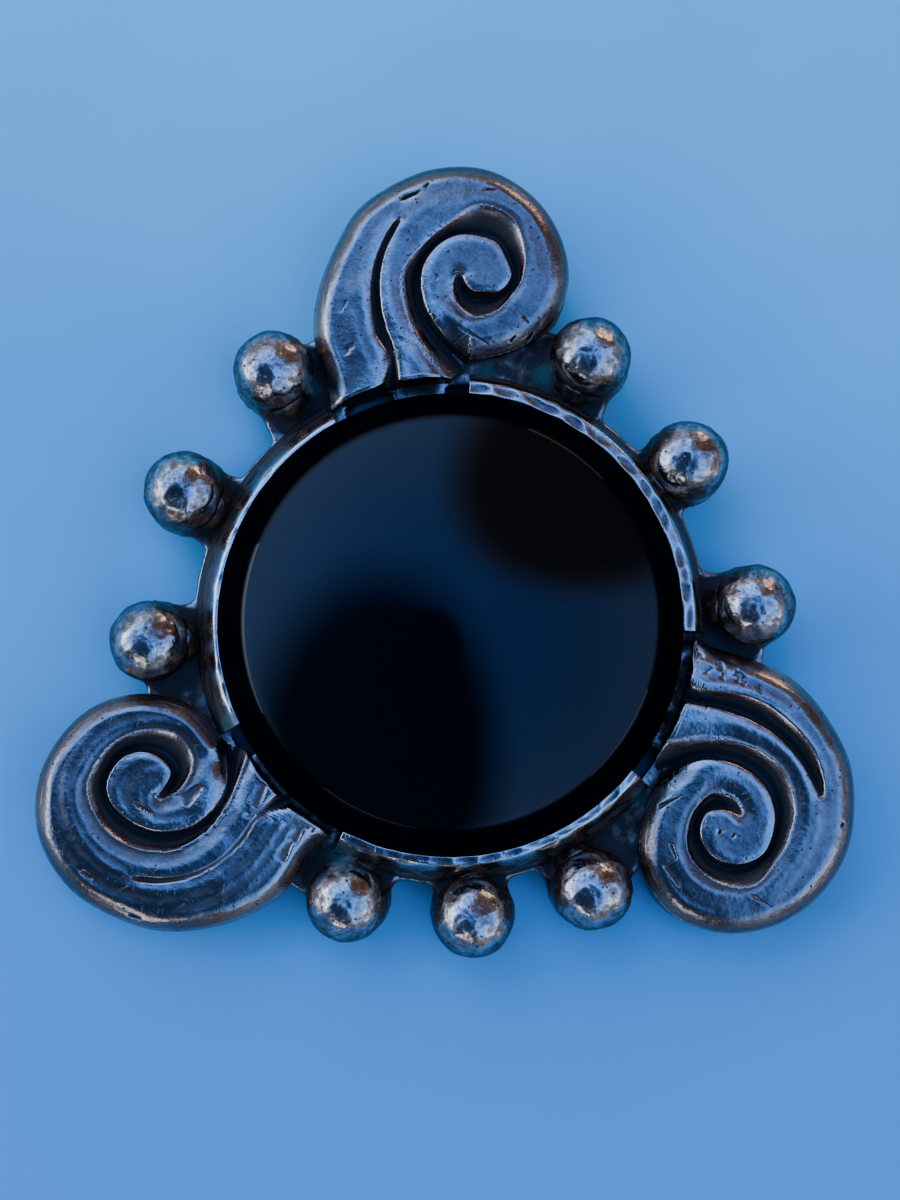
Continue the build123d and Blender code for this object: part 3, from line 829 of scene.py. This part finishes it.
def hammer(piece, strip, depth, chance):
    """Beats two rows of shallow dishes into a bezel strip, on its top edge and its wall.

    They meet in ridges. Each is scattered out from the stone and set askew, and is longer than it is wide.
    """
    scatter, askew, narrowness, dish = 0.25, 0.9, 0.55, 0.32
    shallowest, deepest = 0.9, 1.5
    co = places(piece)
    middle = math.radians((strip["start"] + strip["end"]) / 2)
    turn = (np.arctan2(co[:, 1], co[:, 0]) - middle + math.pi) % (2 * math.pi) - math.pi
    along, out = turn * STONE_RADIUS, np.hypot(co[:, 0], co[:, 1])
    length = strip_length(strip)
    count = round(length / strip["mark"])
    blows = [((spot + chance.uniform(0.0, 1.0)) / count * length - length / 2,
              row_out + chance.uniform(-scatter, scatter), row_height)
             for row_out, row_height in ((BEZEL_LIP + strip["top"] / 2, BEZEL_TOP), LOWER_MARKS)
             for spot in range(count)]
    gap_out = out[:, None] - [blow[1] for blow in blows]
    gap_along = along[:, None] - [blow[0] for blow in blows] + chance.normal(0, askew, len(blows)) * gap_out
    gap_up = co[:, 2, None] - [blow[2] for blow in blows]
    spread = (narrowness * gap_along) ** 2 + gap_out ** 2 + gap_up ** 2
    lift = (depth * (spread / dish - chance.uniform(shallowest, deepest, len(blows)))).min(1)
    normals = np.empty(len(co) * 3, np.float32)
    piece.data.vertices.foreach_get("normal", normals)
    # The foot and the lip at the stone stay as they are
    seen = ease((co[:, 2] - PLATE_TOP) / 0.5) * ease((out - BEZEL_LIP) / 0.15)
    put(piece, co + (np.minimum(lift, 0) * seen)[:, None] * normals.reshape(-1, 3))


class BROOCH_OT_scrolls(bpy.types.Operator):
    """Carve the three scrolls"""
    bl_idname = "brooch.scrolls"
    bl_label = "Scrolls"

    def execute(self, context):
        cast = old_silver("cast_silver")
        for scroll in SCROLLS:
            finish_piece(carved_scroll(scroll), cast, "oxidised_silver", "silver_mount")
        return {"FINISHED"}


class BROOCH_OT_plate(bpy.types.Operator):
    """Build the back plate with its lobes, webs, slots and solder"""
    bl_idname = "brooch.plate"
    bl_label = "Back plate"

    def execute(self, context):
        middle, thickness = (PLATE_UNDERSIDE + PLATE_TOP) / 2, PLATE_TOP - PLATE_UNDERSIDE
        deselect()
        parts = [cylinder(PLATE_RADIUS, thickness, (0, 0, middle), 256)]
        for ball in BALLS:
            out = PLATE_RADIUS + ball["outside"]
            turn = Matrix.Rotation(math.radians(ball["direction"]), 4, "Z")
            parts.append(cylinder(LOBE_RADIUS, thickness, turn @ Vector((out, 0, middle))))
            bpy.ops.mesh.primitive_cube_add(size=1.0)
            neck = bpy.context.object
            neck.data.transform(Matrix.Diagonal((out - HOLE_RADIUS, NECK_WIDTH, thickness, 1)))
            # A neck narrows outwards
            co = places(neck)
            co[:, 1] *= np.where(co[:, 0] > 0, 0.87, 1.25)
            co += ((out + HOLE_RADIUS) / 2, 0, middle)
            put(neck, co)
            neck.data.transform(turn)
            parts.append(neck)
            # A cone of solder is sunk a little into the plate
            for cone in SOLDER:
                centre = (out - cone["inwards"], 0, PLATE_TOP + cone["height"] / 2 - 0.2)
                bpy.ops.mesh.primitive_cone_add(vertices=48, radius1=cone["foot"], radius2=cone["head"],
                                                depth=cone["height"], location=turn @ Vector(centre))
                parts.append(bpy.context.object)
            # A web starts within the hole, which is cut later
            if ball["web"] is not None:
                web = bar(8.0, out + WEB_REACH, PLATE_UNDERSIDE, PLATE_TOP)
                parts.append(turned("web", web, 24, *sorted((ball["direction"], ball["web"]))))
        plate = joined("back_plate", parts)
        modified(plate, "REMESH", mode="VOXEL", voxel_size=0.2)
        less(plate, cylinder(HOLE_RADIUS, 9.0, (0, 0, middle), 256))
        for slot in SLOTS:
            less(plate, turned("slot", bar(10.0, SLOT_RADIUS, 0.0, 8.0), 16, slot["start"], slot["end"]))
        # The hollow under each scroll is cut out of the plate too, with some room below and above
        blank, room = 10, 0.1
        for scroll in SCROLLS:
            cutter = turned("hollow", bar(0.0, blank, 0.0, POCKET_HEIGHT + 2 * room), 120)
            co = places(cutter)
            turn = np.arctan2(co[:, 1], co[:, 0])
            edge = reach(scroll, turn, SCROLL_WALL, POCKET_RADIUS) * np.hypot(co[:, 0], co[:, 1]) / blank
            put(cutter, np.column_stack([edge * np.cos(turn), edge * np.sin(turn), co[:, 2]]))
            cutter.data.transform(on_plate(scroll, -room))
            less(plate, cutter)
        # Cast metal has soft edges and a grainy skin
        modified(plate, "REMESH", mode="VOXEL", voxel_size=0.22)
        modified(plate, "SMOOTH", factor=0.5, iterations=6)
        dented(plate, 1.1, 0.16, detail=2)
        note_crests(plate)
        finish_piece(plate, old_silver("plate_silver"), "oxidised_silver", "silver_mount")
        return {"FINISHED"}


class BROOCH_OT_bezel(bpy.types.Operator):
    """Hammer the three bezel strips round the stone"""
    bl_idname = "brooch.bezel"
    bl_label = "Bezel strips"

    def execute(self, context):
        hammered = old_silver("hammered_silver")
        chance = np.random.default_rng(7)
        for strip in BEZELS:
            # From within the plate it stands straight up, leans in over the stone, and comes down in a slope
            sunk, straight, leaning, belly, bevel = 3.0, 4.5, 5.5, 22.3, 0.1
            ridge = BEZEL_LIP + strip["top"]
            inner = [(BEZEL_WALL, sunk), (BEZEL_WALL, straight), (BEZEL_WAIST, leaning)]
            top = [(BEZEL_LIP, BEZEL_TOP - bevel), (BEZEL_LIP + bevel, BEZEL_TOP), (ridge, BEZEL_TOP - 0.12)]
            outer = [((ridge + belly) / 2, LOWER_MARKS[1]), (BEZEL_FOOT, PLATE_TOP), (BEZEL_FOOT, sunk)]
            # Both ways its vertices are about 0.1 mm apart
            profile, steps = in_steps(inner + top + outer, 0.11), round(strip_length(strip) / 0.12)
            piece = turned("bezel_" + strip["name"], profile, steps, strip["start"], strip["end"])
            edit(bpy.ops.mesh.vertices_smooth, factor=0.5, repeat=2)
            hammer(piece, strip, context.scene.brooch_shapes.hammer_depth / MM, chance)
            edit(bpy.ops.mesh.vertices_smooth, factor=0.5, repeat=1)
            note_crests(piece, rounds=6, scale=0.025)
            finish_piece(piece, hammered, "oxidised_silver", "silver_mount")
        return {"FINISHED"}


class BROOCH_OT_balls(bpy.types.Operator):
    """Set the nine balls on their lobes"""
    bl_idname = "brooch.balls"
    bl_label = "Balls"

    def execute(self, context):
        shapes = context.scene.brooch_shapes
        worn = old_silver("ball_silver")
        deselect()
        # The rims of the dents rise a little, so a ball starts smaller, and it ends at the plate's underside
        bpy.ops.mesh.primitive_uv_sphere_add(segments=120, ring_count=80, radius=BALL_RADIUS - 0.05)
        pattern = bpy.context.object
        edit(bpy.ops.mesh.bisect, plane_co=(0, 0, PLATE_UNDERSIDE - BALL_CENTRE), plane_no=(0, 0, 1),
             use_fill=True, clear_inner=True)
        for number, ball in enumerate(BALLS, 1):
            piece = pattern.copy()
            piece.data = pattern.data.copy()
            piece.name = f"ball_{number}"
            bpy.context.scene.collection.objects.link(piece)
            piece.data.transform(Matrix.Rotation(2.4 * number, 4, "Z"))
            out = PLATE_RADIUS + ball["outside"]
            turn = Matrix.Rotation(math.radians(ball["direction"]), 4, "Z")
            piece.data.transform(Matrix.Translation(turn @ Vector((out, 0, BALL_CENTRE))))
            for size, depth in ((1.5, shapes.ball_dents / MM), (0.6, 0.35 * shapes.ball_dents / MM)):
                dented(piece, size, depth, level=0.65)
            note_crests(piece)
            finish_piece(piece, worn, "oxidised_silver", "silver_mount")
        bpy.data.objects.remove(pattern)
        return {"FINISHED"}


class BROOCH_OT_stone(bpy.types.Operator):
    """Turn and polish the onyx"""
    bl_idname = "brooch.stone"
    bl_label = "Onyx"

    def execute(self, context):
        dome = APEX - GIRDLE_TOP
        crown_rise = dome - SHOULDER_ARC
        crown = (STONE_RADIUS ** 2 + dome ** 2 - 2 * STONE_RADIUS * SHOULDER_ARC) / (2 * crown_rise)
        joint = math.asin((crown - dome) / (crown - SHOULDER_ARC))
        # A bevelled seat, the arc of the shoulder and the larger arc of the crown
        profile = [(0.0, SEAT_HEIGHT), (STONE_RADIUS - 0.3, SEAT_HEIGHT), (STONE_RADIUS, SEAT_HEIGHT + 0.25)]
        profile += [(STONE_RADIUS - SHOULDER_ARC * (1 - math.cos(angle)),
                     GIRDLE_TOP + SHOULDER_ARC * math.sin(angle))
                    for angle in np.linspace(0, joint, 24)]
        profile += [(crown * math.cos(angle), APEX - crown * (1 - math.sin(angle)))
                    for angle in np.linspace(joint, math.pi / 2, 36)[1:]]
        profile[-1] = (0.0, APEX)
        stone = turned("onyx", profile, 200)
        finish_piece(stone, polished_onyx(), "polished_onyx", "onyx_cabochon", smooth_angle=40)
        return {"FINISHED"}


class BROOCH_OT_pin(bpy.types.Operator):
    """Give the pin across the back its finish"""
    bl_idname = "brooch.pin"
    bl_label = "Pin"

    def execute(self, context):
        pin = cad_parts["brooch_pin"]
        pin.data.materials.clear()
        pin.data.materials.append(old_silver("drawn_silver_wire"))
        return {"FINISHED"}


class BROOCH_OT_stage(bpy.types.Operator):
    """Lay the sheet and set the lights and the camera"""
    bl_idname = "brooch.stage"
    bl_label = "Sheet, lights and camera"

    def execute(self, context):
        deselect()
        bpy.ops.mesh.primitive_plane_add(size=12.0, location=(0, 0, 0))
        sheet = context.object
        sheet.name = "sheet"
        sheet.data.materials.append(pale_sheet())
        middle = stone_axis() * MM
        context.scene.world = soft_dome()
        boxes = table(
            "name azimuth elevation distance width height glow tint",
            ("left", 178, 19, 0.6, 0.50, 0.10, 6.0, "#C4DCFF"),
            ("right", -30, 19, 0.6, 0.30, 0.10, 3.0, "#B9D2FF"),
            ("low", 245, 18, 0.6, 0.30, 0.10, 4.0, "#D5E3FF"),
            ("warm", 58, 12, 0.6, 0.24, 0.08, 4.5, "#FFE6DA"),
        )
        for box in boxes:
            azimuth, elevation = math.radians(box["azimuth"]), math.radians(box["elevation"])
            level = math.cos(elevation)
            way = Vector((math.cos(azimuth) * level, math.sin(azimuth) * level, math.sin(elevation)))
            bpy.ops.object.light_add(type="AREA", location=middle + way * box["distance"])
            light = context.object
            light.name = "softbox_" + box["name"]
            light.rotation_euler = way.to_track_quat("Z", "Y").to_euler()
            light.data.shape = "RECTANGLE"
            light.data.size = box["width"]
            light.data.size_y = box["height"]
            light.data.energy = box["glow"] * math.pi * box["width"] * box["height"]
            light.data.color = colour(box["tint"])[:3]
        # The camera looks down at 85 degrees, 200 mm from a point just above the middle of the brooch, and
        # its lens frames the brooch as in the photograph
        tilt, away = math.radians(5.0), 200 * MM
        aim = Vector((middle.x, middle.y, 0)) + Vector((-0.03, 2.25, 3.0)) * MM
        bpy.ops.object.camera_add(location=aim + Vector((0, -math.sin(tilt), math.cos(tilt))) * away,
                                  rotation=(tilt, 0, 0))
        camera = context.object
        camera.data.lens = 69.3
        camera.data.sensor_width = 36
        camera.data.clip_start = 0.01
        context.scene.camera = camera
        return {"FINISHED"}


STEPS = (BROOCH_OT_plate, BROOCH_OT_scrolls, BROOCH_OT_bezel, BROOCH_OT_balls, BROOCH_OT_stone, BROOCH_OT_pin,
         BROOCH_OT_stage)


class BROOCH_PT_panel(bpy.types.Panel):
    """Sizes, colours and steps of the brooch"""
    bl_idname = "BROOCH_PT_panel"
    bl_label = "Onyx brooch"
    bl_space_type = "VIEW_3D"
    bl_region_type = "UI"
    bl_category = "Brooch"

    def draw(self, context):
        for group in (context.scene.brooch_shapes, context.scene.brooch_finish):
            for name in group.__annotations__:
                self.layout.prop(group, name)
        for step in STEPS:
            self.layout.operator(step.bl_idname)


CLASSES = (BroochShapes, BroochFinish, *STEPS, BROOCH_PT_panel)


def register():
    for each in CLASSES:
        bpy.utils.register_class(each)
    bpy.types.Scene.brooch_shapes = PointerProperty(type=BroochShapes)
    bpy.types.Scene.brooch_finish = PointerProperty(type=BroochFinish)


def unregister():
    del bpy.types.Scene.brooch_finish
    del bpy.types.Scene.brooch_shapes
    for each in reversed(CLASSES):
        bpy.utils.unregister_class(each)


def main():
    register()
    bpy.ops.brooch.plate()
    bpy.ops.brooch.scrolls()
    bpy.ops.brooch.bezel()
    bpy.ops.brooch.balls()
    bpy.ops.brooch.stone()
    bpy.ops.brooch.pin()
    bpy.ops.brooch.stage()


if __name__ == "__main__":
    main()
